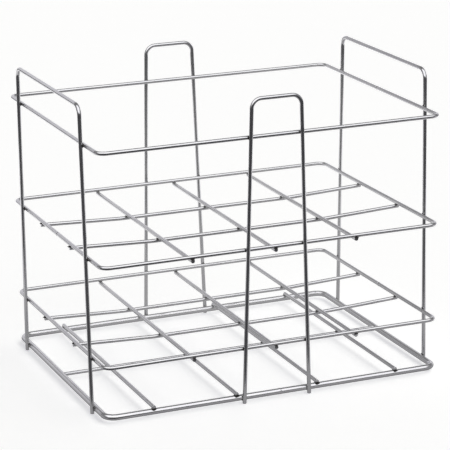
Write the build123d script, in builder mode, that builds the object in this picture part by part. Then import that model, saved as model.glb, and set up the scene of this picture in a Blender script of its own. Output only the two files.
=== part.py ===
"""Welded wire rack, four cells by three, for large tubes and bottles.

Bright-drawn stainless wire, resistance welded.  Four closed rings are stacked one above
the other, four inverted-U wires run up the outside of them and stand clear of the top
ring as carrying handles, and two wire grids plus a base grid divide the inside.
Millimetres, +Z up.  The origin is on the floor in the middle of the rack; X runs along
the four-cell side, Y along the three-cell side, and the front is at -Y.
"""
import os

from build123d import *

# ---- driving dimensions ------------------------------------------------------------
wire_d = 3.2               # wire of the rings, handles and grids
base_wire_d = 5.0          # heavier wire of the base ring

cell_pitch_x = 70.6        # spacing of the cross wires
cell_shift = 0.5           # how far right of the middle they sit as a group
cell_pitch_y = 72.0        # spacing of the long wires
base_pitch = 70.4          # spacing of the base cross wires
base_shift = 1.0           # how far right of the middle they sit as a group
side_plane_floor = 146.75  # end handles: distance of the leg centrelines from the middle at the floor
side_plane_grip = 147.86   # and at the grip, the rack being a little wider at the top
ring_width = 217.4         # thin rings, centreline to centreline along Y
ring_corner_r = 7.0        # bend radius of the thin rings, centreline
base_corner_r = 9.0        # bend radius of the base ring, centreline

base_z = 4.3               # centreline heights above the floor
lower_z = 45.2
upper_z = 126.2
top_z = 216.5
handle_z = 247.2

set_down = 0.2             # how far crossing thin wires sink into each other at a weld
base_set_down = 0.6        # the same where a thin wire lies on the base ring
base_leg_set_down = 0.8    # the same where a leg passes the base ring
base_under_step = 3.1      # centre distance of the base long wire below its cross wires

end_handle_half_bottom = 82.7      # end handles: half the leg spacing at the floor
end_handle_half_top = 76.3         # end handles: half the leg spacing at the grip
face_handle_half_bottom = 28.3     # front and rear handles: the same
face_handle_half_top = 20.8
front_foot_shift = -0.35           # front handle: how far right of the middle it stands at the floor
front_grip_shift = 0.75            # and at the grip
rear_foot_shift = 0.9              # rear handle: the same
rear_grip_shift = -0.75
handle_corner_r = 8.0              # bend radius at the grip, centreline

grid_front_overhangs = (1.6, 1.2, 0.5)   # cross wires, left to right: end beyond the ring centreline at the front
grid_rear_overhang = 0.6           # and at the rear
grid_side_overhang = 1.3           # long wires: end beyond the ring centreline
base_front_overhang = 1.2          # base cross wires, beyond the base ring centreline
base_rear_overhang = 1.4

bead_r = 1.9                       # weld flash squeezed out at a thin-wire crossing
base_bead_r = 2.4                  # and at the base ring
collar_d = 3.55                    # upset where the two ends of a ring are butt welded
base_collar_d = 5.4
collar_len = 2.0
top_collar_y = 3.0                 # where each ring's butt weld sits along its straight side
upper_collar_y = -4.0
lower_collar_y = -5.0
base_collar_x = 3.0
bow_run = 6.0                      # straight run of a long wire beyond its outer cross wires

# ---- derived -----------------------------------------------------------------------
r = wire_d / 2
base_r = base_wire_d / 2
step = wire_d - set_down                       # centre distance of two crossing thin wires
base_step = base_r + r - base_leg_set_down     # centre distance of a leg and the base ring
leg_y = ring_width / 2 + step                  # plane of the front and rear handles


def side_x(z):
    """Distance of the end handles' plane from the middle at height z."""
    return side_plane_floor + (side_plane_grip - side_plane_floor) * z / handle_z


top_length = 2 * (side_x(top_z) - step)        # rings, centreline to centreline along X
upper_length = 2 * (side_x(upper_z) - step)
lower_length = 2 * (side_x(lower_z) - step)
base_length = 2 * (side_x(base_z) - base_step)
base_width = 2 * (leg_y - base_step)
base_cross_z = base_z + base_r + r - base_set_down
base_long_z = base_cross_z - base_under_step
cross_x = [cell_shift + n * cell_pitch_x for n in (-1, 0, 1)]
long_y = [-cell_pitch_y / 2, cell_pitch_y / 2]
base_cross_x = [base_shift + n * base_pitch for n in (-1.5, -0.5, 0.5, 1.5)]


def ring_points(length, width, z):
    """Corners of a ring's centreline, starting at the front left."""
    a, b = length / 2, width / 2
    return [(-a, -b, z), (a, -b, z), (a, b, z), (-a, b, z)]


def at_height(z, bottom, top):
    """A handle dimension that changes evenly from the floor to the grip, at height z."""
    return bottom + (top - bottom) * z / handle_z


# ---- the four rings ------------------------------------------------------------------
# Each ring is one wire bent round four corners, its ends butt welded in a straight side.
with BuildPart() as top_ring:
    with BuildLine() as top_path:
        FilletPolyline(*ring_points(top_length, ring_width, top_z), radius=ring_corner_r, close=True)
    with BuildSketch(Plane(origin=top_path.wire() @ 0, z_dir=top_path.wire() % 0)):
        Circle(r)
    sweep(path=top_path.wire())
    with BuildSketch(Plane(origin=(top_length / 2, top_collar_y, top_z), z_dir=(0, 1, 0))):
        Circle(collar_d / 2)
    extrude(amount=collar_len / 2, both=True)
top_ring.part.label = "top_ring"

with BuildPart() as upper_grid_ring:
    with BuildLine() as upper_path:
        FilletPolyline(*ring_points(upper_length, ring_width, upper_z), radius=ring_corner_r, close=True)
    with BuildSketch(Plane(origin=upper_path.wire() @ 0, z_dir=upper_path.wire() % 0)):
        Circle(r)
    sweep(path=upper_path.wire())
    with BuildSketch(Plane(origin=(-upper_length / 2, upper_collar_y, upper_z), z_dir=(0, 1, 0))):
        Circle(collar_d / 2)
    extrude(amount=collar_len / 2, both=True)
upper_grid_ring.part.label = "upper_grid_ring"

with BuildPart() as lower_grid_ring:
    with BuildLine() as lower_path:
        FilletPolyline(*ring_points(lower_length, ring_width, lower_z), radius=ring_corner_r, close=True)
    with BuildSketch(Plane(origin=lower_path.wire() @ 0, z_dir=lower_path.wire() % 0)):
        Circle(r)
    sweep(path=lower_path.wire())
    with BuildSketch(Plane(origin=(lower_length / 2, lower_collar_y, lower_z), z_dir=(0, 1, 0))):
        Circle(collar_d / 2)
    extrude(amount=collar_len / 2, both=True)
lower_grid_ring.part.label = "lower_grid_ring"

with BuildPart() as base_ring:
    with BuildLine() as base_path:
        FilletPolyline(*ring_points(base_length, base_width, base_z), radius=base_corner_r, close=True)
    with BuildSketch(Plane(origin=base_path.wire() @ 0, z_dir=base_path.wire() % 0)):
        Circle(base_r)
    sweep(path=base_path.wire())
    with BuildSketch(Plane(origin=(base_collar_x, -base_width / 2, base_z), z_dir=(1, 0, 0))):
        Circle(base_collar_d / 2)
    extrude(amount=collar_len / 2, both=True)
base_ring.part.label = "base_ring"

rings = [top_ring, upper_grid_ring, lower_grid_ring, base_ring]

# ---- the four handles ----------------------------------------------------------------
# One wire each: up from the floor, over the grip and down again, welded to the outside of
# every ring.  The legs lean towards each other as they rise and are cut flat at the floor.
def shift_at(z, sign):
    """How far right of the middle the front or rear handle stands at height z."""
    if sign < 0:
        return at_height(z, front_foot_shift, front_grip_shift)
    return at_height(z, rear_foot_shift, rear_grip_shift)


def handle_points(face, sign):
    """Centreline corners of one handle, drawn from just below the floor and back to it."""
    below = -4.0
    if face == "end":
        lo, hi = at_height(below, end_handle_half_bottom, end_handle_half_top), end_handle_half_top
        x0, x1 = sign * side_x(below), sign * side_x(handle_z)
        return [(x0, -lo, below), (x1, -hi, handle_z), (x1, hi, handle_z), (x0, lo, below)]
    lo, hi = at_height(below, face_handle_half_bottom, face_handle_half_top), face_handle_half_top
    y, s0, s1 = sign * leg_y, shift_at(below, sign), shift_at(handle_z, sign)
    return [(s0 - lo, y, below), (s1 - hi, y, handle_z), (s1 + hi, y, handle_z), (s0 + lo, y, below)]


handles = []
for handle_name, face, sign in (
    ("left_handle", "end", -1),
    ("right_handle", "end", 1),
    ("front_handle", "face", -1),
    ("rear_handle", "face", 1),
):
    with BuildPart() as handle:
        with BuildLine() as handle_path:
            FilletPolyline(*handle_points(face, sign), radius=handle_corner_r)
        with BuildSketch(Plane(origin=handle_path.wire() @ 0, z_dir=handle_path.wire() % 0)):
            Circle(r)
        sweep(path=handle_path.wire())
        split(bisect_by=Plane.XY, keep=Keep.TOP)
        # each weld presses the leg a little way into the ring, so the leg carries the seat
        for ring in rings:
            add(ring.part, mode=Mode.SUBTRACT)
    handle.part.label = handle_name
    handles.append(handle)

# ---- the two wire grids --------------------------------------------------------------
# Three cross wires lie under the long sides of each grid ring.  Two long wires lie under
# its short sides and under the cross wires, so they bow down by one wire on the way in.
def long_wire_points(y, z, length):
    """Centreline of a bowed long wire hung from the ring at height z."""
    ends, bends = [], []
    for side in (-1, 1):
        bend = cell_shift + side * (cell_pitch_x + bow_run)
        slope = step / (length / 2 - side * bend)
        ends.append((side * (length / 2 + grid_side_overhang), y, z - step + slope * grid_side_overhang))
        bends.append((bend, y, z - 2 * step))
    return [ends[0], *bends, ends[1]]


cross_wires, long_wires = [], []
for level, ring, ring_z, ring_length in (
    ("upper", upper_grid_ring, upper_z, upper_length),
    ("lower", lower_grid_ring, lower_z, lower_length),
):
    for side, x, overhang in zip(("left", "middle", "right"), cross_x, grid_front_overhangs):
        with BuildPart() as cross_wire:
            with BuildSketch(Plane(origin=(x, -ring_width / 2 - overhang, ring_z - step), z_dir=(0, 1, 0))):
                Circle(r)
            extrude(amount=ring_width + overhang + grid_rear_overhang)
            chamfer(cross_wire.edges().filter_by(GeomType.CIRCLE), length=0.25)
            add(ring.part, mode=Mode.SUBTRACT)
        cross_wire.part.label = f"{level}_cross_wire_{side}"
        cross_wires.append(cross_wire)
    for side, y in zip(("front", "rear"), long_y):
        with BuildPart() as long_wire:
            with BuildLine() as long_path:
                FilletPolyline(*long_wire_points(y, ring_z, ring_length), radius=120)
            with BuildSketch(Plane(origin=long_path.wire() @ 0, z_dir=long_path.wire() % 0)):
                Circle(r)
            sweep(path=long_path.wire())
            chamfer(long_wire.edges().filter_by(GeomType.CIRCLE).group_by(Axis.X)[0], length=0.25)
            chamfer(long_wire.edges().filter_by(GeomType.CIRCLE).group_by(Axis.X)[-1], length=0.25)
            add(ring.part, mode=Mode.SUBTRACT)
            for crossing in cross_wires[-3:]:
                add(crossing.part, mode=Mode.SUBTRACT)
        long_wire.part.label = f"{level}_long_wire_{side}"
        long_wires.append(long_wire)

# ---- the base ------------------------------------------------------------------------
# Four cross wires lie on the heavy base ring, one under the middle of each row of cells.
# One long wire runs beneath them, its ends welded to the inside of the short sides.
base_cross_wires = []
for place, x in zip(("left", "centre_left", "centre_right", "right"), base_cross_x):
    with BuildPart() as base_cross_wire:
        with BuildSketch(Plane(origin=(x, -base_width / 2 - base_front_overhang, base_cross_z), z_dir=(0, 1, 0))):
            Circle(r)
        extrude(amount=base_width + base_front_overhang + base_rear_overhang)
        chamfer(base_cross_wire.edges().filter_by(GeomType.CIRCLE), length=0.25)
        add(base_ring.part, mode=Mode.SUBTRACT)
    base_cross_wire.part.label = f"base_cross_wire_{place}"
    base_cross_wires.append(base_cross_wire)

with BuildPart() as base_long_wire:
    with BuildSketch(Plane(origin=(-base_length / 2 + base_r - 0.4, 0, base_long_z), z_dir=(1, 0, 0))):
        Circle(r)
    extrude(amount=base_length - base_wire_d + 0.8)
    add(base_ring.part, mode=Mode.SUBTRACT)
    for crossing in base_cross_wires:
        add(crossing.part, mode=Mode.SUBTRACT)
base_long_wire.part.label = "base_long_wire"

# ---- weld flash ----------------------------------------------------------------------
# A small bead is squeezed out round every contact.  The beads of one level form a group.
wires = rings + handles + cross_wires + long_wires + base_cross_wires + [base_long_wire]


def leg_contacts(z, depth):
    """Points where the eight legs touch a ring, a given way inside the leg planes."""
    e = at_height(z, end_handle_half_bottom, end_handle_half_top)
    f = at_height(z, face_handle_half_bottom, face_handle_half_top)
    x, y = side_x(z) - depth, leg_y - depth
    return [(i * x, j * e, z) for i in (-1, 1) for j in (-1, 1)] + [
        (shift_at(z, j) + i * f, j * y, z) for j in (-1, 1) for i in (-1, 1)
    ]


def grid_contacts(z, length):
    """Points where the grid wires touch their ring and each other."""
    under, lower = z - step / 2, z - 1.5 * step
    return (
        [(x, j * ring_width / 2, under) for x in cross_x for j in (-1, 1)]
        + [(i * length / 2, y, under) for i in (-1, 1) for y in long_y]
        + [(x, y, lower) for x in cross_x for y in long_y]
    )


leg_gap = step / 2
base_leg_gap = r - base_leg_set_down / 2
base_seat = base_cross_z - r + base_set_down / 2
groups = (
    ("top_ring_welds", leg_contacts(top_z, leg_gap), [], bead_r),
    ("upper_grid_welds", leg_contacts(upper_z, leg_gap) + grid_contacts(upper_z, upper_length), [], bead_r),
    ("lower_grid_welds", leg_contacts(lower_z, leg_gap) + grid_contacts(lower_z, lower_length), [], bead_r),
    (
        "base_welds",
        [(x, 0, base_cross_z - base_under_step / 2) for x in base_cross_x],
        leg_contacts(base_z, base_leg_gap)
        + [(x, j * (base_width / 2 - 0.2), base_seat) for x in base_cross_x for j in (-1, 1)]
        + [(i * (base_length / 2 - base_r), 0, base_long_z) for i in (-1, 1)],
        bead_r,
    ),
)


def bead_between(point, radius):
    """One bead of flash: a ball round the contact point, less the wires that meet there."""
    with BuildPart() as bead:
        with Locations(point):
            Sphere(radius, rotation=(19, 33, 0))
        reach = bead.part.bounding_box()
        for wire in wires:
            box = wire.part.bounding_box()
            near = all(
                lo <= hi_bead and lo_bead <= hi
                for lo, hi, lo_bead, hi_bead in zip(box.min, box.max, reach.min, reach.max)
            )
            if near:
                add(wire.part, mode=Mode.SUBTRACT)
    return bead.part


welds = []
for group_name, small, large, radius in groups:
    beads = [bead_between(point, radius) for point in small]
    beads += [bead_between(point, base_bead_r) for point in large]
    with BuildPart() as weld_group:
        add(beads)
    weld_group.part.label = group_name
    welds.append(weld_group)

# ---- files ---------------------------------------------------------------------------
os.makedirs("parts", exist_ok=True)
for piece in wires + welds:
    export_step(piece.part, f"parts/{piece.part.label}.step")
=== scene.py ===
"""Looks for the welded wire rack: drawn stainless wire, resistance welds, pale studio."""
import math
import bpy
import bmesh
import numpy as np
from mathutils import Vector, Matrix, noise


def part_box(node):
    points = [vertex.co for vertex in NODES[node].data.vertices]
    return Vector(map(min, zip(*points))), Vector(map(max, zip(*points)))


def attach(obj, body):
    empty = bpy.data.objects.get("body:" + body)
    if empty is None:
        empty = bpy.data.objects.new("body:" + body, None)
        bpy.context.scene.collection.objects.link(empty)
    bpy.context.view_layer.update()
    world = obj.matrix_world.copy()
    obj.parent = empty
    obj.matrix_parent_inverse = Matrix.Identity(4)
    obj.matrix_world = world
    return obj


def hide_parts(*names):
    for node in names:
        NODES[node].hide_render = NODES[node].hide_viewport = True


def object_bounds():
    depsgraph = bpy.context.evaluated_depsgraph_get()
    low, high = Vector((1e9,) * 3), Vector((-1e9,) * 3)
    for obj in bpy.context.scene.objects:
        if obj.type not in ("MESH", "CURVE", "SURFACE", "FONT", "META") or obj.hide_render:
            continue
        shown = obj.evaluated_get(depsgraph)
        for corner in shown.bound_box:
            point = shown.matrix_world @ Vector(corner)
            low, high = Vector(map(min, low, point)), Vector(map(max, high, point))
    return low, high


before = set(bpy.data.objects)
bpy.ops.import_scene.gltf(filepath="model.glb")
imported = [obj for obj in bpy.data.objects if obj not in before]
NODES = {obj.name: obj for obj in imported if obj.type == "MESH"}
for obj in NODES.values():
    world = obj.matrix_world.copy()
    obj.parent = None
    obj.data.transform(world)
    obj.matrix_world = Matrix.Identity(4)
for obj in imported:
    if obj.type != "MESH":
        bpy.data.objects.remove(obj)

box_before = [list(map(float, c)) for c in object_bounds()]

SEED = 7
rng = np.random.default_rng(SEED)

# ---------------------------------------------------------------- sizes, metres
WIRE_R = 0.0016
BASE_R = 0.0025
RING_BEND = 0.0070
BASE_BEND = 0.0090
HANDLE_BEND = 0.008
SIDES = 28                     # facets round a wire
BASE_SIDES = 40


# ---------------------------------------------------------------- reading the frame
def mesh_edges(node):
    me = NODES[node].data
    co = np.zeros(len(me.vertices) * 3)
    me.vertices.foreach_get("co", co)
    ed = np.zeros(len(me.edges) * 2, dtype=np.int64)
    me.edges.foreach_get("vertices", ed)
    return co.reshape(-1, 3), ed.reshape(-1, 2)


_edge_cache = {}


def cut(node, axis, value):
    """Points where the CAD node's edges cross the plane axis = value."""
    if node not in _edge_cache:
        _edge_cache[node] = mesh_edges(node)
    co, ed = _edge_cache[node]
    a, b = co[ed[:, 0]], co[ed[:, 1]]
    da, db = a[:, axis] - value, b[:, axis] - value
    m = (da * db) < 0
    t = (da[m] / (da[m] - db[m]))[:, None]
    return a[m] + (b[m] - a[m]) * t


def centre(pts, keep=None):
    """Middle of the box round the crossing points, for the ones keep() accepts."""
    if keep is not None:
        pts = pts[[bool(keep(p)) for p in pts]]
    return (pts.min(0) + pts.max(0)) / 2


# ---------------------------------------------------------------- wire centrelines
def arc_corner(a, b, c, r, n):
    """Points of the arc of radius r that rounds corner b, and its two tangent points."""
    u = (a - b) / np.linalg.norm(a - b)
    v = (c - b) / np.linalg.norm(c - b)
    half = math.acos(float(np.clip(u @ v, -1, 1))) / 2
    t = r / math.tan(half)
    mid = (u + v) / np.linalg.norm(u + v)
    o = b + mid * r / math.sin(half)
    e0, e1 = b + u * t - o, b + v * t - o
    w = math.acos(float(np.clip(e0 @ e1 / r / r, -1, 1)))
    return [o + (math.sin((1 - k) * w) * e0 + math.sin(k * w) * e1) / math.sin(w) for k in np.linspace(0, 1, n)]


def rounded(points, r, closed, n=14):
    pts = [np.array(p, float) for p in points]
    out = [] if closed else [pts[0]]
    for i in range(len(pts)) if closed else range(1, len(pts) - 1):
        out += arc_corner(pts[i - 1], pts[i], pts[(i + 1) % len(pts)], r, n)
    if not closed:
        out.append(pts[-1])
    return np.array(out)


wires = {}                      # name -> dict(path, radius, closed)

for name in ("top_ring", "upper_grid_ring", "lower_grid_ring", "base_ring"):
    px, py = cut(name, 0, 0.0003), cut(name, 1, 0.0003)
    front, rear = centre(px, lambda p: p[1] < 0), centre(px, lambda p: p[1] > 0)
    left, right = centre(py, lambda p: p[0] < 0), centre(py, lambda p: p[0] > 0)
    z = (front[2] + rear[2] + left[2] + right[2]) / 4
    rad = BASE_R if name == "base_ring" else WIRE_R
    # start in the middle of a side away from the welds
    c = [(left[0], front[1], z), (right[0], front[1], z), (right[0], rear[1], z), (left[0], rear[1], z)]
    path = rounded(c, BASE_BEND if name == "base_ring" else RING_BEND, True)
    wires[name] = dict(path=path, r=rad, closed=True)

for name, axis in (("left_handle", 1), ("right_handle", 1), ("front_handle", 0), ("rear_handle", 0)):
    lo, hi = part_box(name)
    mid = (lo[axis] + hi[axis]) / 2
    top = hi[2] - WIRE_R
    corners = []
    for side in (-1, 1):
        keep = (lambda p, s=side: s * (p[axis] - mid) > 0)
        z1, z2 = 0.06, 0.20
        a, b = centre(cut(name, 2, z1), keep), centre(cut(name, 2, z2), keep)
        lean = (b - a) / (z2 - z1)
        corners.append((a - lean * z1, a + lean * (top - z1)))
    pts = [corners[0][0], corners[0][1], corners[1][1], corners[1][0]]
    wires[name] = dict(path=rounded(pts, HANDLE_BEND, False), r=WIRE_R, closed=False, flat_ends=True)

for name in sorted(NODES):
    if "cross_wire" in name or name == "base_long_wire":
        lo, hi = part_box(name)
        m = (lo + hi) / 2
        if "cross_wire" in name:
            path = np.array([(m[0], lo[1], m[2]), (m[0], hi[1], m[2])])
        else:
            path = np.array([(lo[0], m[1], m[2]), (hi[0], m[1], m[2])])
        wires[name] = dict(path=path, r=WIRE_R, closed=False)
    elif "long_wire" in name:
        lo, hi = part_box(name)
        ends = (lo[0] + 0.0004, hi[0] - 0.0004)
        xs = [ends[0], -0.142, -0.120, -0.100, -0.084, -0.079, -0.074, -0.060, -0.04, -0.002, 0.04, 0.060, 0.074, 0.079, 0.084, 0.100, 0.120, 0.142, ends[1]]
        zs = []
        for x in xs:
            p = centre(cut(name, 0, x + 1e-5))
            zs.append((x, p[1], p[2]))
        pts = np.array(zs)
        # the seats shorten a section, so the height is read from the clear ones and carried on
        bottom = lo[2] + WIRE_R
        inner = np.abs(pts[:, 0]) < 0.0745
        pts[inner, 2] = bottom
        s = (pts[1, 2] - pts[3, 2]) / (pts[1, 0] - pts[3, 0])
        pts[0, 2] = pts[1, 2] + s * (pts[0, 0] - pts[1, 0])
        s = (pts[-2, 2] - pts[-4, 2]) / (pts[-2, 0] - pts[-4, 0])
        pts[-1, 2] = pts[-2, 2] + s * (pts[-1, 0] - pts[-2, 0])
        pts[0, 0], pts[-1, 0] = lo[0], hi[0]
        pts[:, 1] = (lo[1] + hi[1]) / 2
        wires[name] = dict(path=pts, r=WIRE_R, closed=False, smooth=True)


def resample(path, closed, step):
    """Even steps along a polyline, corners kept."""
    pts = np.vstack([path, path[:1]]) if closed else path
    out = []
    for a, b in zip(pts[:-1], pts[1:]):
        n = max(1, int(math.ceil(np.linalg.norm(b - a) / step)))
        out += [a + (b - a) * k / n for k in range(n)]
    if not closed:
        out.append(pts[-1])
    return np.array(out)


def nearest(a, b):
    """Closest approach of two polylines: distance, point on a, point on b, directions."""
    best = []
    for i in range(len(a) - 1):
        for j in range(len(b) - 1):
            p, d1 = a[i], a[i + 1] - a[i]
            q, d2 = b[j], b[j + 1] - b[j]
            w = p - q
            A, B, C, D, E = d1 @ d1, d1 @ d2, d2 @ d2, d1 @ w, d2 @ w
            den = A * C - B * B
            if den < 1e-16:
                continue
            s = min(1, max(0, (B * E - C * D) / den))
            t = min(1, max(0, (B * s + E) / C))
            s = min(1, max(0, (B * t - D) / A))
            x, y = p + d1 * s, q + d2 * t
            best.append((np.linalg.norm(x - y), x, y, d1 / math.sqrt(A), d2 / math.sqrt(C)))
    return best


def closed_path(w):
    return np.vstack([w["path"], w["path"][:1]]) if w["closed"] else w["path"]


# every place where two wires touch is a weld
contacts = []
names = sorted(wires)
for i, n1 in enumerate(names):
    for n2 in names[i + 1:]:
        w1, w2 = wires[n1], wires[n2]
        reach = w1["r"] + w2["r"] + 0.0004
        if n1 == "base_long_wire" and n2 == "base_ring":
            continue
        found = []
        for d, x, y, d1, d2 in sorted(nearest(closed_path(w1), closed_path(w2)), key=lambda k: k[0]):
            if d > reach:
                break
            if all(np.linalg.norm(x - f[1]) > 0.006 for f in found):
                found.append((d, x, y, d1, d2))
        for d, x, y, d1, d2 in found:
            contacts.append(dict(a=n1, b=n2, pa=x, pb=y, da=d1, db=d2, gap=d))

# the base long wire butts against the inside of the ring's short sides
bl = wires["base_long_wire"]["path"]
for end, sgn in ((bl[0], -1), (bl[1], 1)):
    ring_x = centre(cut("base_ring", 1, 0.0003), lambda p, s=sgn: s * p[0] > 0)
    contacts.append(dict(a="base_long_wire", b="base_ring", pa=end, pb=ring_x, da=np.array([1.0, 0, 0]), db=np.array([0, 1.0, 0]), gap=0, butt=True))
print("CONTACTS", len(contacts))


# ---------------------------------------------------------------- seats, welds, butts
def rank(name):
    """Which of two crossing wires carries the seat: the later one is pressed onto the earlier."""
    if name.endswith("ring"):
        return 0
    if "cross_wire" in name:
        return 1
    return 2


for w in wires.values():
    w["welds"], w["seats"], w["butts"] = [], [], []

for k, c in enumerate(contacts):
    c["id"] = k
    c["warm"] = bool(c.get("butt")) and c["pa"][0] < 0
    if c.get("butt"):
        c["at"] = np.array([c["pb"][0] - math.copysign(BASE_R, c["pb"][0]), c["pa"][1], c["pa"][2]])
    else:
        f = wires[c["a"]]["r"] / (wires[c["a"]]["r"] + wires[c["b"]]["r"])
        c["at"] = c["pa"] + (c["pb"] - c["pa"]) * f
    c["tint"] = float(rng.uniform(0.25, 1.0))
    c["halo"] = float(rng.uniform(0.0022, 0.0046))
    if c["warm"]:                               # the long base wire's left end was heated most
        c["tint"], c["halo"] = 1.0, 0.0075
    wires[c["a"]]["welds"].append(c)
    wires[c["b"]]["welds"].append(c)
    if not c.get("butt"):
        if rank(c["a"]) > rank(c["b"]):
            wires[c["a"]]["seats"].append((c["pb"], c["db"], wires[c["b"]]["r"]))
        elif rank(c["b"]) > rank(c["a"]):
            wires[c["b"]]["seats"].append((c["pa"], c["da"], wires[c["a"]]["r"]))

# the upset collar of each ring's butt weld, found where the CAD ring is fatter than its wire
for name in sorted(wires):
    w = wires[name]
    if not w["closed"]:
        continue
    co = mesh_edges(name)[0]
    p = closed_path(w)
    a, d = p[:-1], p[1:] - p[:-1]
    ll = (d * d).sum(1)
    a, d, ll = a[ll > 1e-14], d[ll > 1e-14], ll[ll > 1e-14]
    far = []
    for v in co:
        t = np.clip(((v - a) * d).sum(1) / ll, 0, 1)
        q = a + d * t[:, None]
        i = np.argmin(((v - q) ** 2).sum(1))
        if np.linalg.norm(v - q[i]) > w["r"] + 0.00010:
            far.append(q[i])
    if far:
        far = np.array(far)
        w["butts"].append(((far.min(0) + far.max(0)) / 2, float(rng.uniform(0.85, 1.0))))
        print("BUTT", name, np.round(w["butts"][0][0] * 1000, 2))


# ---------------------------------------------------------------- tubes
def spline(points, n):
    """Natural cubic curve through points whose X rises."""
    x = points[:, 0]
    m = len(x)
    h = np.diff(x)
    xs = np.linspace(x[0], x[-1], n)
    j = np.clip(np.searchsorted(x, xs) - 1, 0, m - 2)
    out = [xs]
    for axis in (1, 2):
        y = points[:, axis]
        A, rhs = np.zeros((m, m)), np.zeros(m)
        A[0, 0] = A[-1, -1] = 1
        for i in range(1, m - 1):
            A[i, i - 1], A[i, i], A[i, i + 1] = h[i - 1], 2 * (h[i - 1] + h[i]), h[i]
            rhs[i] = 6 * ((y[i + 1] - y[i]) / h[i] - (y[i] - y[i - 1]) / h[i - 1])
        K = np.linalg.solve(A, rhs)
        p, q, hj = x[j + 1] - xs, xs - x[j], h[j]
        out.append(K[j] * p ** 3 / 6 / hj + K[j + 1] * q ** 3 / 6 / hj
                   + (y[j] / hj - K[j] * hj / 6) * p + (y[j + 1] / hj - K[j + 1] * hj / 6) * q)
    return np.column_stack(out)


def plane_normal(path):
    """Normal of the plane a bent wire lies in; level for a straight one."""
    for i in range(1, len(path) - 1):
        n = np.cross(path[i] - path[0], path[i + 1] - path[i])
        if np.linalg.norm(n) > 1e-9:
            return n / np.linalg.norm(n)
    n = np.cross(path[-1] - path[0], (0, 0, 1.0))
    return n / np.linalg.norm(n)


def stations(path, w):
    """Points along the centreline, close together at bends, welds, butts and ends."""
    if w["closed"]:
        path = np.vstack([(path[-1] + path[0]) / 2, path])
    fine = resample(path, w["closed"], 0.00025)
    marks = [c["at"] for c in w["welds"]] + [b[0] for b in w["butts"]]
    near = np.min([np.linalg.norm(fine - m, axis=1) for m in marks], axis=0)
    t = np.gradient(fine, axis=0)
    t /= np.linalg.norm(t, axis=1)[:, None]
    turning = np.linalg.norm(np.gradient(t, axis=0), axis=1) > 4e-3
    want = np.clip((near - 0.0020) * 0.35, 0.00030 if w["r"] < 0.002 else 0.0004, 0.0030)
    want[turning] = np.minimum(want[turning], 0.0006)
    if not w["closed"]:
        to_end = np.minimum(np.linalg.norm(fine - fine[0], axis=1), np.linalg.norm(fine - fine[-1], axis=1))
        want = np.minimum(want, 0.0004 + to_end * 0.3)
    keep, run = [0], 0.0
    for i in range(1, len(fine)):
        run += np.linalg.norm(fine[i] - fine[i - 1])
        if run >= want[i]:
            keep.append(i)
            run = 0.0
    if not w["closed"] and keep[-1] != len(fine) - 1:
        keep[-1] = len(fine) - 1
    return fine[keep]


def outward(me):
    bm = bmesh.new()
    bm.from_mesh(me)
    bmesh.ops.recalc_face_normals(bm, faces=bm.faces)
    bm.to_mesh(me)
    bm.free()


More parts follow.
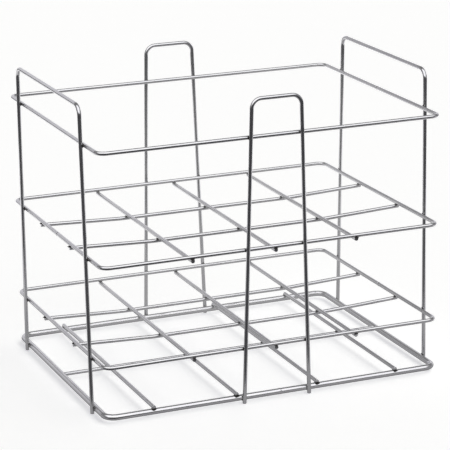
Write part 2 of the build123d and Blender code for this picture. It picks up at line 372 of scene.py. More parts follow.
def build_tube(name, w, index):
    path = spline(w["path"], 160) if w.get("smooth") else w["path"]
    pts = stations(path, w)
    n, r = len(pts), w["r"]
    sides = BASE_SIDES if r > 0.002 else SIDES
    if w["closed"]:
        t = np.roll(pts, -1, 0) - np.roll(pts, 1, 0)
    else:
        t = np.gradient(pts, axis=0)
        t[0], t[-1] = pts[1] - pts[0], pts[-1] - pts[-2]
    t /= np.linalg.norm(t, axis=1)[:, None]
    up = np.tile(plane_normal(path), (n, 1))
    side = np.cross(t, up)
    side /= np.linalg.norm(side, axis=1)[:, None]
    along = np.concatenate([[0], np.cumsum(np.linalg.norm(np.diff(pts, axis=0), axis=1))])
    total = along[-1] + (np.linalg.norm(pts[0] - pts[-1]) if w["closed"] else 0)
    th = np.arange(sides) / sides * 2 * math.pi

    # the radius wanders by a hundredth of a millimetre and swells at a butt weld
    rad = np.full((n, sides), r)
    drift = np.array([noise.noise(Vector((s * 70, index * 3.1, 0.5))) + 0.5 * noise.noise(Vector((s * 160, index * 1.7, 4.5))) for s in along])
    rad += (drift * np.clip(np.minimum(along, total - along) / 0.02, 0, 1))[:, None] * 0.000012
    for at, strength in w["butts"]:
        d = np.linalg.norm(pts - at, axis=1)
        uneven = 1 + 0.30 * np.sin(th * 2 + index) + 0.18 * np.sin(th * 5 + 2 * index)
        rad += np.exp(-(d / 0.0008) ** 2)[:, None] * 0.00016 * strength * uneven[None, :]
        rad -= np.exp(-((d - 0.0019) / 0.0007) ** 2)[:, None] * 0.00003
    co = pts[:, None, :] + (side[:, None, :] * np.cos(th)[None, :, None] + up[:, None, :] * np.sin(th)[None, :, None]) * rad[:, :, None]

    # seats pressed into this wire by the wires it crosses
    for p, d, rr in w["seats"]:
        v = co - p
        ax = (v @ d)[..., None] * d
        off = v - ax
        dist = np.linalg.norm(off, axis=2)
        m = (dist < rr) & (np.abs(v @ d) < 0.006)
        if m.any():
            co[m] = p + ax[m] + off[m] / dist[m][:, None] * rr

    verts = [Vector(v) for v in co.reshape(-1, 3)]
    lay = [(float(a), float(s)) for s in along for a in th]        # angle, distance along
    faces = []
    for j in range(n if w["closed"] else n - 1):
        a, b = j * sides, ((j + 1) % n) * sides
        for i in range(sides):
            i2 = (i + 1) % sides
            faces.append((a + i, a + i2, b + i2, b + i))
    if not w["closed"]:
        for j, sgn in ((0, -1), (n - 1, 1)):
            ring = [j * sides + i for i in range(sides)]
            level = w.get("flat_ends", False)
            direction = Vector(t[j] * sgn)
            # sheared end: a small rolled edge, then the slightly uneven cut face
            for f, back in ((1.0, 0.00026), (0.975, 0.00011), (0.90, 0.00002), (0.72, 0.0), (0.40, 0.0)):
                fresh = []
                for i in range(sides):
                    if f == 1.0:
                        q = verts[ring[i]]
                    else:
                        q = Vector(pts[j] + (side[j] * math.cos(th[i]) + up[j] * math.sin(th[i])) * r * f)
                        q = Vector(q)
                    rough = 0.00003 * (noise.noise(q * 2200) - 0.5)
                    if level:
                        q = q + direction * ((back - q.z) / direction.z)
                    else:
                        q = q + direction * ((Vector(pts[j]) - q).dot(direction) - back + min(0.0, rough))
                    if f == 1.0:
                        verts[ring[i]] = q
                    else:
                        fresh.append(len(verts))
                        verts.append(q)
                        lay.append((float(th[i]), float(along[j] + sgn * (1 - f) * r)))
                if f == 1.0:
                    continue
                for i in range(sides):
                    i2 = (i + 1) % sides
                    faces.append((ring[i], ring[i2], fresh[i2], fresh[i]))
                ring = fresh
            q = Vector(pts[j])
            if level:
                q.z = 0.0
            verts.append(q)
            lay.append((0.0, float(along[j] + sgn * r)))
            for i in range(sides):
                faces.append((ring[i], ring[(i + 1) % sides], len(verts) - 1))
    me = bpy.data.meshes.new("look_" + name)
    me.from_pydata(verts, [], faces)
    outward(me)
    me.update()

    V = np.array([tuple(v) for v in verts])
    heat, kind = np.zeros(len(V)), np.full(len(V), 0.5)
    for c in w["welds"]:
        off = V - c["at"]
        off[:, 2] *= np.where(off[:, 2] > 0, 1.25, 0.70)      # the weld colours reach further below the crossing than above it
        d = np.linalg.norm(off, axis=1)
        h = np.exp(-(np.clip(d - c["core"], 0, None) / c["halo"]) ** 1.2)
        kind = np.where(h > heat, c["tint"], kind)
        heat = np.maximum(heat, h)
    if name == "base_long_wire":                # browned for a centimetre at its left end
        tip = V[np.argmin(V[:, 0])]
        for reach, s in ((0.003, 0.75), (0.008, 0.50)):
            h = np.exp(-((V[:, 0] - tip[0] - reach) / 0.0032) ** 2) * s
            kind = np.where(h > heat, 1.0, kind)
            heat = np.maximum(heat, h)
    for at, s in w["butts"]:
        d = np.linalg.norm(V - at, axis=1)
        h = np.exp(-(np.clip(d - 0.0015, 0, None) / 0.0036) ** 2) * s
        kind = np.where(h > heat, 0.9, kind)
        heat = np.maximum(heat, h)
    for nm, arr in (("heat", heat), ("kind", kind)):
        at = me.attributes.new(nm, "FLOAT", "POINT")
        at.data.foreach_set("value", arr.astype(np.float32))

    # coordinates that run with the wire, one pair per face corner so that nothing smears at the seam
    loops = np.zeros(len(me.loops), dtype=np.int64)
    me.loops.foreach_get("vertex_index", loops)
    lay = np.array(lay)
    U, W = lay[loops, 0] / (2 * math.pi), lay[loops, 1].copy()
    for p in me.polygons:
        s, k = p.loop_start, p.loop_total
        u = U[s:s + k]
        if u.max() - u.min() > 0.5:
            u[u < 0.5] += 1.0
        x = W[s:s + k]
        if w["closed"] and x.max() - x.min() > total / 2:
            x[x < total / 2] += total
    uv = me.uv_layers.new(name="wire")
    uv.data.foreach_set("uv", np.column_stack([U, W * 10]).astype(np.float32).ravel())
    ang = U * 2 * math.pi
    draw = np.column_stack([np.cos(ang) * r, np.sin(ang) * r, W + index * 1.37]).astype(np.float32)
    at = me.attributes.new("draw", "FLOAT_VECTOR", "CORNER")
    at.data.foreach_set("vector", draw.ravel())
    me.polygons.foreach_set("use_smooth", [True] * len(me.polygons))
    me.update()
    ob = bpy.data.objects.new("look_" + name, me)
    bpy.context.scene.collection.objects.link(ob)
    return ob


# ---------------------------------------------------------------- weld beads
def bead_cross(c, spin=20, rows=5):
    """Squeezed-out fillet round the place where two crossing wires are fused."""
    a, b = wires[c["a"]], wires[c["b"]]
    pa, pb, da, db = c["pa"], c["pb"], c["da"] / np.linalg.norm(c["da"]), c["db"] / np.linalg.norm(c["db"])
    n = (pb - pa) / np.linalg.norm(pb - pa)
    ca, cb = np.cross(n, da), np.cross(n, db)
    ra, rb = a["r"], b["r"]
    reach = 0.5 * (ra + rb) * c["spread"]
    bury = 0.00007
    verts, faces = [], []
    e1, e2 = da, np.cross(n, da)
    seed = Vector((c["id"] * 1.37, 2.1, 0.3))

    def on(p, d, cr, r, nn, wdir, rho):
        lim = r * 0.86
        x = rho * float(wdir @ d)
        y = lim * math.tanh(rho * float(wdir @ cr) / lim)
        rr = r - bury
        return p + d * x + cr * y + nn * math.sqrt(max(rr * rr - y * y, 0.0))

    rings = []
    for k in range(rows + 2):
        ring = []
        for i in range(spin):
            f = i / spin * 2 * math.pi
            wdir = e1 * math.cos(f) + e2 * math.sin(f)
            q = Vector((math.cos(f) * 0.9, math.sin(f) * 0.9, 0)) + seed
            rho = reach * (1 + 0.20 * noise.noise(q) + 0.10 * noise.noise(q * 2.7))
            A, B = on(pa, da, ca, ra, n, wdir, rho), on(pb, db, cb, rb, -n, wdir, rho * (1 + 0.1 * noise.noise(q * 1.9)))
            if k == 0:
                ring.append(pa + n * (ra - 0.0004) + wdir * rho * 0.35)
            elif k == rows + 1:
                ring.append(pb - n * (rb - 0.0004) + wdir * rho * 0.35)
            else:
                s = (k - 1) / (rows - 1)
                p = A + (B - A) * s
                mid = (A + B) / 2 - c["at"]
                inward = -mid / max(np.linalg.norm(mid), 1e-9)
                hollow = 0.30 * np.linalg.norm(B - A) * 4 * s * (1 - s)
                lump = 0.00010 * noise.noise(Vector((math.cos(f) * 2.6, math.sin(f) * 2.6, s * 3)) + seed * 1.7)
                ring.append(p + inward * (hollow + lump))
        rings.append(ring)
    for ring in rings:
        verts += [tuple(p) for p in ring]
    for k in range(rows + 1):
        for i in range(spin):
            i2 = (i + 1) % spin
            faces.append((k * spin + i, k * spin + i2, (k + 1) * spin + i2, (k + 1) * spin + i))
    top, bot = len(verts), len(verts) + 1
    verts += [tuple(pa + n * (ra - 0.0005)), tuple(pb - n * (rb - 0.0005))]
    for i in range(spin):
        i2 = (i + 1) % spin
        faces.append((i2, i, top))
        faces.append(((rows + 1) * spin + i, (rows + 1) * spin + i2, bot))
    return verts, faces


def bead_butt(c, spin=24, rows=5):
    """Fillet all round the end of a wire welded square against the side of another."""
    a, b = wires[c["a"]], wires[c["b"]]
    sgn = math.copysign(1.0, c["pb"][0])
    end = c["at"]
    d = np.array([sgn, 0, 0])
    verts, faces = [], []
    seed = Vector((c["id"] * 0.77, 1.1, 5.3))
    rings = []
    for k in range(rows + 2):
        ring = []
        for i in range(spin):
            f = i / spin * 2 * math.pi
            w = np.array([0, math.cos(f), math.sin(f)])
            q = Vector((math.cos(f), math.sin(f), 0)) + seed
            wob = 1 + 0.25 * noise.noise(q * 1.3)
            A = end - d * 0.0011 * wob + w * (a["r"] - 0.00006)
            rho = (a["r"] + 0.0007) * wob
            z = end[2] + rho * w[2]
            off = z - c["pb"][2]
            R = b["r"] - 0.00006
            off = max(-R * 0.92, min(R * 0.92, off))
            B = np.array([c["pb"][0] - sgn * math.sqrt(R * R - off * off), end[1] + rho * w[1], c["pb"][2] + off])
            if k == 0:
                ring.append(end - d * 0.0008 + w * a["r"] * 0.5)
            elif k == rows + 1:
                ring.append(end + d * 0.0006 + w * a["r"] * 0.5)
            else:
                s = (k - 1) / (rows - 1)
                p = A + (B - A) * s
                hollow = 0.22 * np.linalg.norm(B - A) * 4 * s * (1 - s)
                ring.append(p + (d * 0.7 - w * 0.7) * (hollow + 0.00008 * noise.noise(q * 3 + Vector((0, 0, s * 2)))))
        rings.append(ring)
    for ring in rings:
        verts += [tuple(p) for p in ring]
    for k in range(rows + 1):
        for i in range(spin):
            i2 = (i + 1) % spin
            faces.append((k * spin + i, k * spin + i2, (k + 1) * spin + i2, (k + 1) * spin + i))
    top, bot = len(verts), len(verts) + 1
    verts += [tuple(end - d * 0.0008), tuple(end + d * 0.0006)]
    for i in range(spin):
        i2 = (i + 1) % spin
        faces.append((i2, i, top))
        faces.append(((rows + 1) * spin + i, (rows + 1) * spin + i2, bot))
    return verts, faces


def weld_node(c):
    """Which CAD weld group a bead belongs to, by the height of its wires."""
    for key in ("base", "lower", "upper", "top"):
        if any(c[s].startswith(key) for s in "ab"):
            return {"base": "base_welds", "lower": "lower_grid_welds", "upper": "upper_grid_welds", "top": "top_ring_welds"}[key]


def build_welds(node, beads):
    verts, faces, tone = [], [], []
    for c in beads:
        v, f = bead_butt(c) if c.get("butt") else bead_cross(c)
        base = len(verts)
        verts += v
        tone += [c["tint"]] * len(v)
        faces += [tuple(base + i for i in g) for g in f]
    me = bpy.data.meshes.new("look_" + node)
    me.from_pydata(verts, [], faces)
    outward(me)
    at = me.attributes.new("kind", "FLOAT", "POINT")
    at.data.foreach_set("value", np.array(tone, np.float32))
    me.polygons.foreach_set("use_smooth", [True] * len(me.polygons))
    me.update()
    ob = bpy.data.objects.new("look_" + node, me)
    bpy.context.scene.collection.objects.link(ob)
    return ob


# ---------------------------------------------------------------- node helpers
class Graph:
    """Short hand for wiring shader nodes."""

    def __init__(self, tree):
        self.tree = tree
        tree.nodes.clear()

    def node(self, kind, inputs=None, **props):
        n = self.tree.nodes.new(kind)
        for k, v in props.items():
            setattr(n, k, v)
        for k, v in (inputs or {}).items():
            self.put(n.inputs[k], v)
        return n

    def put(self, socket, v):
        if isinstance(v, bpy.types.NodeSocket):
            self.tree.links.new(v, socket)
        elif isinstance(v, bpy.types.Node):
            self.tree.links.new(v.outputs[0], socket)
        else:
            socket.default_value = v

    def math(self, op, *args, clamp=False):
        n = self.tree.nodes.new("ShaderNodeMath")
        n.operation = op
        n.use_clamp = clamp
        for i, a in enumerate(args):
            self.put(n.inputs[i], a)
        return n.outputs[0]

    def dot(self, v, axis):
        n = self.tree.nodes.new("ShaderNodeVectorMath")
        n.operation = "DOT_PRODUCT"
        self.put(n.inputs[0], v)
        n.inputs[1].default_value = axis
        return n.outputs["Value"]

    def scale(self, v, s):
        n = self.tree.nodes.new("ShaderNodeVectorMath")
        n.operation = "MULTIPLY"
        self.put(n.inputs[0], v)
        n.inputs[1].default_value = s
        return n.outputs[0]

    def step(self, x, a, b):
        """0 below a, 1 above b, smooth between."""
        n = self.tree.nodes.new("ShaderNodeMapRange")
        n.interpolation_type = "SMOOTHSTEP"
        self.put(n.inputs["Value"], x)
        n.inputs["From Min"].default_value = a
        n.inputs["From Max"].default_value = b
        return n.outputs[0]

    def remap(self, x, a, b, c, d):
        n = self.tree.nodes.new("ShaderNodeMapRange")
        self.put(n.inputs["Value"], x)
        for k, v in (("From Min", a), ("From Max", b), ("To Min", c), ("To Max", d)):
            self.put(n.inputs[k], v)
        return n.outputs[0]

    def noise(self, vector, scale, detail=3.0, rough=0.5, lac=2.0):
        n = self.tree.nodes.new("ShaderNodeTexNoise")
        self.put(n.inputs["Vector"], vector)
        n.inputs["Scale"].default_value = scale
        n.inputs["Detail"].default_value = detail
        n.inputs["Roughness"].default_value = rough
        n.inputs["Lacunarity"].default_value = lac
        return n.outputs[0]

    def mix(self, f, a, b):
        n = self.tree.nodes.new("ShaderNodeMix")
        n.data_type = "RGBA"
        self.put(n.inputs["Factor"], f)
        self.put(n.inputs[6], a)
        self.put(n.inputs[7], b)
        return n.outputs[2]

    def ramp(self, x, stops, mode="LINEAR"):
        n = self.tree.nodes.new("ShaderNodeValToRGB")
        cr = n.color_ramp
        cr.interpolation = mode
        while len(cr.elements) < len(stops):
            cr.elements.new(0.5)
        for e, (p, col) in zip(cr.elements, stops):
            e.position = p
            e.color = (*col, 1) if len(col) == 3 else col
        self.put(n.inputs[0], x)
        return n.outputs[0]

    def attr(self, name):
        return self.node("ShaderNodeAttribute", attribute_name=name)


# ---------------------------------------------------------------- materials
def steel(name, tone, gloss):
    """Drawn stainless wire: fine lines along the wire, faint water marks, weld heat colours."""
    mat = bpy.data.materials.new(name)
    mat.use_nodes = True
    g = Graph(mat.node_tree)
    out = g.node("ShaderNodeOutputMaterial")
    bsdf = g.node("ShaderNodeBsdfPrincipled")
    g.put(out.inputs[0], bsdf)
    draw = g.attr("draw").outputs["Vector"]
    heat = g.attr("heat").outputs["Fac"]
    kind = g.attr("kind").outputs["Fac"]
    lines = g.noise(g.scale(draw, (5200, 5200, 45)), 1.0, 3.0, 0.6)
    fine = g.noise(g.scale(draw, (11000, 11000, 220)), 1.0, 2.0, 0.55)
    patch = g.noise(g.scale(draw, (500, 500, 55)), 1.0, 3.0, 0.55)
    stain = g.noise(g.scale(draw, (900, 900, 260)), 1.0, 4.0, 0.6)
    mottled = g.noise(g.scale(draw, (1400, 1400, 1400)), 1.0, 3.0, 0.6)

    base = g.ramp(patch, [(0.30, [tone * k for k in (0.93, 0.93, 0.95)]), (0.52, [tone * k for k in (1.0, 0.995, 0.995)]), (0.74, [tone * k for k in (1.05, 1.045, 1.03)])])
    shade = g.remap(lines, 0.3, 0.7, 0.90, 1.05)
    drawn = g.node("ShaderNodeMix", data_type="RGBA", blend_type="MULTIPLY")
    g.put(drawn.inputs["Factor"], 1.0)
    g.put(drawn.inputs[6], base)
    grey = g.node("ShaderNodeCombineColor", {0: shade, 1: shade, 2: shade})
    g.put(drawn.inputs[7], grey)
    spots = g.step(stain, 0.60, 0.72)
    wet = g.mix(g.math("MULTIPLY", spots, 0.22), drawn.outputs[2], (0.42, 0.40, 0.38, 1))

    # heat colours: straw, brown, violet grey, black scale
    ragged = g.math("MULTIPLY", g.math("SUBTRACT", mottled, 0.5), 0.45)
    h = g.math("ADD", heat, g.math("MULTIPLY", ragged, g.step(heat, 0.03, 0.35)), clamp=True)
    warm = g.ramp(h, [(0.0, (0.62, 0.61, 0.60)), (0.22, (0.56, 0.49, 0.38)), (0.42, (0.42, 0.30, 0.18)), (0.62, (0.17, 0.115, 0.080)), (0.80, (0.055, 0.044, 0.040)), (1.0, (0.030, 0.027, 0.027))])
    cool = g.ramp(h, [(0.0, (0.62, 0.61, 0.60)), (0.25, (0.55, 0.52, 0.50)), (0.48, (0.32, 0.31, 0.34)), (0.66, (0.13, 0.125, 0.14)), (0.82, (0.050, 0.048, 0.052)), (1.0, (0.030, 0.028, 0.029))])
    burnt = g.mix(g.step(kind, 0.35, 0.75), cool, warm)
    colour = g.mix(g.step(h, 0.04, 0.30), wet, burnt)
    g.put(bsdf.inputs["Base Color"], colour)
    g.put(bsdf.inputs["Metallic"], g.remap(h, 0.55, 1.0, 1.0, 0.75))
    rough = g.math("ADD", g.remap(lines, 0.3, 0.7, gloss - 0.03, gloss + 0.05), g.math("MULTIPLY", g.step(h, 0.30, 0.95), 0.26))
    rough = g.math("ADD", rough, g.math("MULTIPLY", spots, 0.08))
    g.put(bsdf.inputs["Roughness"], rough)
    height = g.math("ADD", g.math("MULTIPLY", lines, 0.6), g.math("MULTIPLY", fine, 0.4))
    height = g.math("ADD", height, g.math("MULTIPLY", g.math("MULTIPLY", mottled, g.step(h, 0.35, 0.9)), 2.5))
    bump = g.node("ShaderNodeBump", {"Strength": 0.22, "Distance": 0.00002, "Height": height})
    g.put(bsdf.inputs["Normal"], bump)
    return mat


def scale_black(name):
    """Weld metal under black oxide, rough, with a few brown and bare flecks."""
    mat = bpy.data.materials.new(name)
    mat.use_nodes = True
    g = Graph(mat.node_tree)
    out = g.node("ShaderNodeOutputMaterial")
    bsdf = g.node("ShaderNodeBsdfPrincipled")
    g.put(out.inputs[0], bsdf)
    pos = g.node("ShaderNodeTexCoord").outputs["Object"]
    coarse = g.noise(g.scale(pos, (900, 900, 900)), 1.0, 4.0, 0.6)
    fine = g.noise(g.scale(pos, (3200, 3200, 3200)), 1.0, 4.0, 0.65)
    kind = g.attr("kind").outputs["Fac"]
    dark = g.ramp(coarse, [(0.32, (0.012, 0.011, 0.012)), (0.54, (0.024, 0.020, 0.019)), (0.68, (0.055, 0.040, 0.032)), (0.82, (0.12, 0.10, 0.085))])
    bare = g.mix(g.math("MULTIPLY", g.step(fine, 0.60, 0.74), g.remap(kind, 0.2, 1.0, 0.45, 0.15)), dark, (0.26, 0.25, 0.24, 1))
    g.put(bsdf.inputs["Base Color"], bare)
    g.put(bsdf.inputs["Metallic"], g.remap(fine, 0.45, 0.75, 0.25, 0.8))
    g.put(bsdf.inputs["Roughness"], g.remap(coarse, 0.3, 0.7, 0.62, 0.42))
    bump = g.node("ShaderNodeBump", {"Strength": 0.8, "Distance": 0.00008, "Height": g.math("ADD", coarse, g.math("MULTIPLY", fine, 0.5))})
    g.put(bsdf.inputs["Normal"], bump)
    return mat


MAT_WIRE = steel("drawn_wire", 0.64, 0.16)
MAT_BASE = steel("drawn_base_wire", 0.66, 0.17)
MAT_WELD = scale_black("weld_scale")

# ---------------------------------------------------------------- pieces
for c in contacts:
    thick = max(wires[c["a"]]["r"], wires[c["b"]]["r"])
    c["core"] = 0.0040 if thick < 0.002 else 0.0043
    c["spread"] = float(rng.uniform(1.45, 1.80))

for index, name in enumerate(sorted(wires)):
    w = wires[name]
    ob = build_tube(name, w, index + 1)
    heavy = w["r"] > 0.002
    ob.data.materials.append(MAT_BASE if heavy else MAT_WIRE)
    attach(ob, "root")
    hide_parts(name)

groups = {}
for c in contacts:
    groups.setdefault(weld_node(c), []).append(c)
for node in sorted(groups):
    ob = build_welds(node, groups[node])
    ob.data.materials.append(MAT_WELD)
    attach(ob, "root")
    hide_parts(node)

# ---------------------------------------------------------------- camera
AZ, EL, ROLL = math.radians(-22.656), math.radians(16.294), math.radians(-0.683)
UNIT = 0.290
AIM = np.array([-0.0063, 0.3684, 6.4272])
back = np.array([math.sin(AZ) * math.cos(EL), -math.cos(AZ) * math.cos(EL), math.sin(EL)])
fwd = -back
right = np.cross(fwd, (0, 0, 1.0))
right /= np.linalg.norm(right)
upv = np.cross(right, fwd)
cam_x = math.cos(ROLL) * right + math.sin(ROLL) * upv
cam_y = -math.sin(ROLL) * right + math.cos(ROLL) * upv
R = np.array([cam_x, -cam_y, fwd])
eye = -(R.T @ AIM) * UNIT + np.array([0, 0, 0.003])
cam_data = bpy.data.cameras.new("camera")
cam_data.sensor_width = 36.0
cam_data.lens = 2205.96 / 450 * 36
cam_data.clip_start, cam_data.clip_end = 0.05, 500.0
SHIFT_PX = (0.5, 0.5)                     # right and down, in frame pixels
cam_data.shift_x = -SHIFT_PX[0] / 450
cam_data.shift_y = SHIFT_PX[1] / 450
cam = bpy.data.objects.new("camera", cam_data)
cam.matrix_world = Matrix([[cam_x[i], cam_y[i], -fwd[i], eye[i]] for i in range(3)] + [[0, 0, 0, 1]])
bpy.context.scene.collection.objects.link(cam)
bpy.context.scene.camera = cam

# ---------------------------------------------------------------- floor, card, world, light
WHITE = 0.9735


def sheet(name, corners, n=1):
    bm = bmesh.new()
    vs = [bm.verts.new(c) for c in corners]
    bm.faces.new(vs)
    if n > 1:
        bmesh.ops.subdivide_edges(bm, edges=bm.edges[:], cuts=n, use_grid_fill=True)
    me = bpy.data.meshes.new(name)
    bm.to_mesh(me)
    bm.free()
    ob = bpy.data.objects.new(name, me)
    bpy.context.scene.collection.objects.link(ob)
    return ob


# the third number is painted light: extra floor glow inside the rack's outline, where soft shade would fall
FLOOR_GLOW, FLOOR_ALBEDO, FLOOR_FILL_GLOW = 0.585, 0.80, 0.032
big = 60.0
floor = sheet("floor", [(-big, -big, -0.00005), (big, -big, -0.00005), (big, big, -0.00005), (-big, big, -0.00005)])
mat = bpy.data.materials.new("floor_paper")
mat.use_nodes = True
g = Graph(mat.node_tree)
out = g.node("ShaderNodeOutputMaterial")
pos = g.node("ShaderNodeTexCoord").outputs["Object"]
tooth = g.noise(g.scale(pos, (300, 300, 300)), 1.0, 3.0, 0.5)
a = g.remap(tooth, 0.3, 0.7, FLOOR_ALBEDO - 0.004, FLOOR_ALBEDO + 0.004)
dif = g.node("ShaderNodeBsdfDiffuse")
g.put(dif.inputs["Color"], g.node("ShaderNodeCombineColor", {0: a, 1: a, 2: a}))
emi = g.node("ShaderNodeEmission")
emi.inputs["Color"].default_value = (0.970, 0.974, 1.0, 1)
# painted light: the floor's glow is raised a little inside the rack's outline, filling in the broad soft shade there
# so that only the crisp wire shadows are left
F = g.node("ShaderNodeTexCoord").outputs["Object"]
rack_lo, rack_hi = np.array(box_before)
fx = g.math("SUBTRACT", g.math("ABSOLUTE", g.dot(F, (1, 0, 0))), float(rack_hi[0]))
fy = g.math("SUBTRACT", g.math("ABSOLUTE", g.dot(F, (0, 1, 0))), float(rack_hi[1]))
painted_fill_glow = g.remap(g.step(g.math("MAXIMUM", fx, fy), 0.10, -0.03), 0.0, 1.0, FLOOR_GLOW, FLOOR_GLOW + FLOOR_FILL_GLOW)
g.put(emi.inputs["Strength"], painted_fill_glow)
add = g.node("ShaderNodeAddShader")
g.put(add.inputs[0], dif)
g.put(add.inputs[1], emi)
g.put(out.inputs[0], add)
floor.data.materials.append(mat)
floor.visible_glossy = False

# the first and the last of these numbers are painted shade in the sweep's glow: dimmer near the rack, dimmer still
# close under the base ring
SWEEP_SHADE_NEAR, SWEEP_FAR, SWEEP_RAMP, SWEEP_CONTACT_SHADE = 0.42, 1.25, 0.40, 0.75
# what the wires see of the floor: a white sweep that ends a hand's width in front of the rack
front = np.array([back[0], back[1], 0.0]) / np.linalg.norm(back[:2])
aside = np.array([right[0], right[1], 0.0]) / np.linalg.norm(right[:2])
EDGE, WIDE, DEEP = 0.160, 0.80, 1.6
quad = [front * EDGE - aside * WIDE, front * EDGE + aside * WIDE, -front * DEEP + aside * WIDE, -front * DEEP - aside * WIDE]
card = sheet("floor_sweep", [(q[0], q[1], -0.0001) for q in quad])
mat = bpy.data.materials.new("sweep_paper")
mat.use_nodes = True
g = Graph(mat.node_tree)
out = g.node("ShaderNodeOutputMaterial")
emi = g.node("ShaderNodeEmission")
emi.inputs["Color"].default_value = (0.97, 0.965, 1.0, 1)
# painted shade: the sweep's glow is dim within the rack's outline and rises over 0.4 m outside it, and it is dimmed
# further close under the base ring, standing in for the rack's shadow and the ring's contact shadow as the wires see
# them
P = g.node("ShaderNodeTexCoord").outputs["Object"]
ring_lo, ring_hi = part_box("base_ring")
hx, hy = (ring_hi[0] - ring_lo[0]) / 2 - BASE_R, (ring_hi[1] - ring_lo[1]) / 2 - BASE_R
dx = g.math("SUBTRACT", g.math("ABSOLUTE", g.dot(P, (1, 0, 0))), float(hx))
dy = g.math("SUBTRACT", g.math("ABSOLUTE", g.dot(P, (0, 1, 0))), float(hy))
outside = g.math("MAXIMUM", dx, dy)
sweep = g.remap(g.step(outside, 0.0, SWEEP_RAMP), 0.0, 1.0, SWEEP_SHADE_NEAR, SWEEP_FAR)
under = g.remap(g.step(g.math("ABSOLUTE", outside), 0.001, 0.009), 0.0, 1.0, SWEEP_CONTACT_SHADE, 1.0)
g.put(emi.inputs["Strength"], g.math("MULTIPLY", sweep, under))
g.put(out.inputs[0], emi)
card.data.materials.append(mat)
card.visible_camera = card.visible_diffuse = card.visible_shadow = card.visible_transmission = False

world = bpy.data.worlds.new("studio")
bpy.context.scene.world = world
world.use_nodes = True
g = Graph(world.node_tree)
out = g.node("ShaderNodeOutputWorld")
D = g.node("ShaderNodeTexCoord").outputs["Generated"]
z = g.dot(D, (0, 0, 1))
f = g.dot(D, tuple(front))
s = g.dot(D, tuple(aside))
arc = g.math("DIVIDE", g.math("ARCTAN2", z, f), math.pi)        # 0 front horizon, 0.5 overhead, 1 back horizon
deg = lambda d: d / 180.0
grey = lambda v, tint=(1, 1, 1): tuple(v * k for k in tint)
LAV = (0.95, 0.94, 1.0)
BLUE = (0.965, 0.965, 1.0)
vault = g.ramp(arc, [
    (deg(0), grey(0.045)), (deg(16), grey(0.045)), (deg(25), grey(1.0, BLUE)), (deg(95), grey(1.0, BLUE)), (deg(100), grey(0.16)),
    (deg(114), grey(0.15)), (deg(148), grey(0.15)), (deg(154), grey(0.55, LAV)), (deg(180), grey(0.55, LAV))])
level = g.math("POWER", g.math("ADD", g.math("MULTIPLY", z, z), g.math("MULTIPLY", f, f)), 0.5)
flank = g.math("DIVIDE", g.math("ARCTAN2", s, level), math.pi / 2)          # -1 left, 1 right
vault_r = g.mix(g.step(flank, 0.45, 0.65), vault, (*grey(0.20, LAV), 1))
vault_l = g.mix(g.step(flank, -0.45, -0.65), vault_r, (*grey(0.20, LAV), 1))
below = g.step(z, -0.02, 0.0)
env = g.mix(below, (0.045, 0.045, 0.049, 1), vault_l)
glossy = g.node("ShaderNodeBackground")
g.put(glossy.inputs["Color"], env)
glossy.inputs["Strength"].default_value = 1.6
seen = g.node("ShaderNodeBackground")
seen.inputs["Color"].default_value = (1, 1, 1, 1)
seen.inputs["Strength"].default_value = WHITE
soft = g.node("ShaderNodeBackground")
soft.inputs["Color"].default_value = (0.93, 0.93, 1.0, 1)
soft.inputs["Strength"].default_value = 0.02
ray = g.node("ShaderNodeLightPath")
m1 = g.node("ShaderNodeMixShader")
g.put(m1.inputs[0], ray.outputs["Is Glossy Ray"])
g.put(m1.inputs[1], soft)
g.put(m1.inputs[2], glossy)
m2 = g.node("ShaderNodeMixShader")
g.put(m2.inputs[0], ray.outputs["Is Camera Ray"])
g.put(m2.inputs[1], m1)
g.put(m2.inputs[2], seen)
g.put(out.inputs[0], m2)

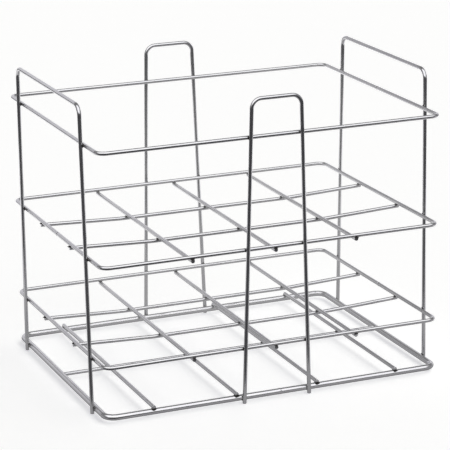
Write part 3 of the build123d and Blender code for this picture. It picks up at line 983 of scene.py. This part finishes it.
# a long strip softbox on the right, built from overlapping discs of light
TILT, DISC, KEY = 36.0, 44.0, 0.40
spread = (-52.0, -26.0, 0.0, 26.0, 52.0)
lean = [Vector((math.sin(math.radians(TILT)), math.cos(math.radians(TILT)) * math.tan(math.radians(a)), math.cos(math.radians(TILT)))).normalized() for a in spread]
share = KEY * math.pi / FLOOR_ALBEDO / sum(v.z for v in lean)
for k, v in enumerate(lean):
    sun_data = bpy.data.lights.new("softbox_%d" % k, "SUN")
    sun_data.energy = share
    sun_data.angle = math.radians(DISC)
    sun_data.color = (1.0, 0.992, 0.935)
    sun = bpy.data.objects.new("softbox_%d" % k, sun_data)
    sun.rotation_euler = (-v).to_track_quat("-Z", "Y").to_euler()
    sun.location = v * 1.5
    sun.visible_glossy = False
    bpy.context.scene.collection.objects.link(sun)

# painted light: a thin glowing, dimming box round the rack, seen by the camera only, makes the far wires a little
# paler than the near ones
HAZE = 0.35
bm = bmesh.new()
lo, hi = Vector(box_before[0]) - Vector((0.006, 0.006, -0.0002)), Vector(box_before[1]) + Vector((0.006, 0.006, 0.006))
grid = [bm.verts.new((x, y, z)) for x in (lo.x, hi.x) for y in (lo.y, hi.y) for z in (lo.z, hi.z)]
for f in ((0, 1, 3, 2), (4, 6, 7, 5), (0, 4, 5, 1), (2, 3, 7, 6), (0, 2, 6, 4), (1, 5, 7, 3)):
    bm.faces.new([grid[i] for i in f])
bmesh.ops.recalc_face_normals(bm, faces=bm.faces)
me = bpy.data.meshes.new("camera_glow_veil")
bm.to_mesh(me)
bm.free()
air = bpy.data.objects.new("camera_glow_veil", me)
bpy.context.scene.collection.objects.link(air)
mat = bpy.data.materials.new("camera_glow_veil")
mat.use_nodes = True
g = Graph(mat.node_tree)
out = g.node("ShaderNodeOutputMaterial")
dim = g.node("ShaderNodeVolumeAbsorption")
dim.inputs["Color"].default_value = (0, 0, 0, 1)
dim.inputs["Density"].default_value = HAZE
glow = g.node("ShaderNodeEmission")
glow.inputs["Color"].default_value = (1, 1, 1, 1)
glow.inputs["Strength"].default_value = HAZE * WHITE
both = g.node("ShaderNodeAddShader")
g.put(both.inputs[0], dim)
g.put(both.inputs[1], glow)
g.put(out.inputs["Volume"], both)
me.materials.append(mat)
air.visible_diffuse = air.visible_glossy = air.visible_shadow = air.visible_transmission = air.visible_volume_scatter = False

scene = bpy.context.scene
scene.view_settings.view_transform = "Standard"
scene.view_settings.look = "None"
scene.view_settings.exposure = 0.0
scene.view_settings.gamma = 1.0
scene.cycles.max_bounces = 6
scene.cycles.glossy_bounces = 4
scene.cycles.diffuse_bounces = 2
scene.cycles.use_denoising = True
scene.cycles.denoiser = "OPENIMAGEDENOISE"
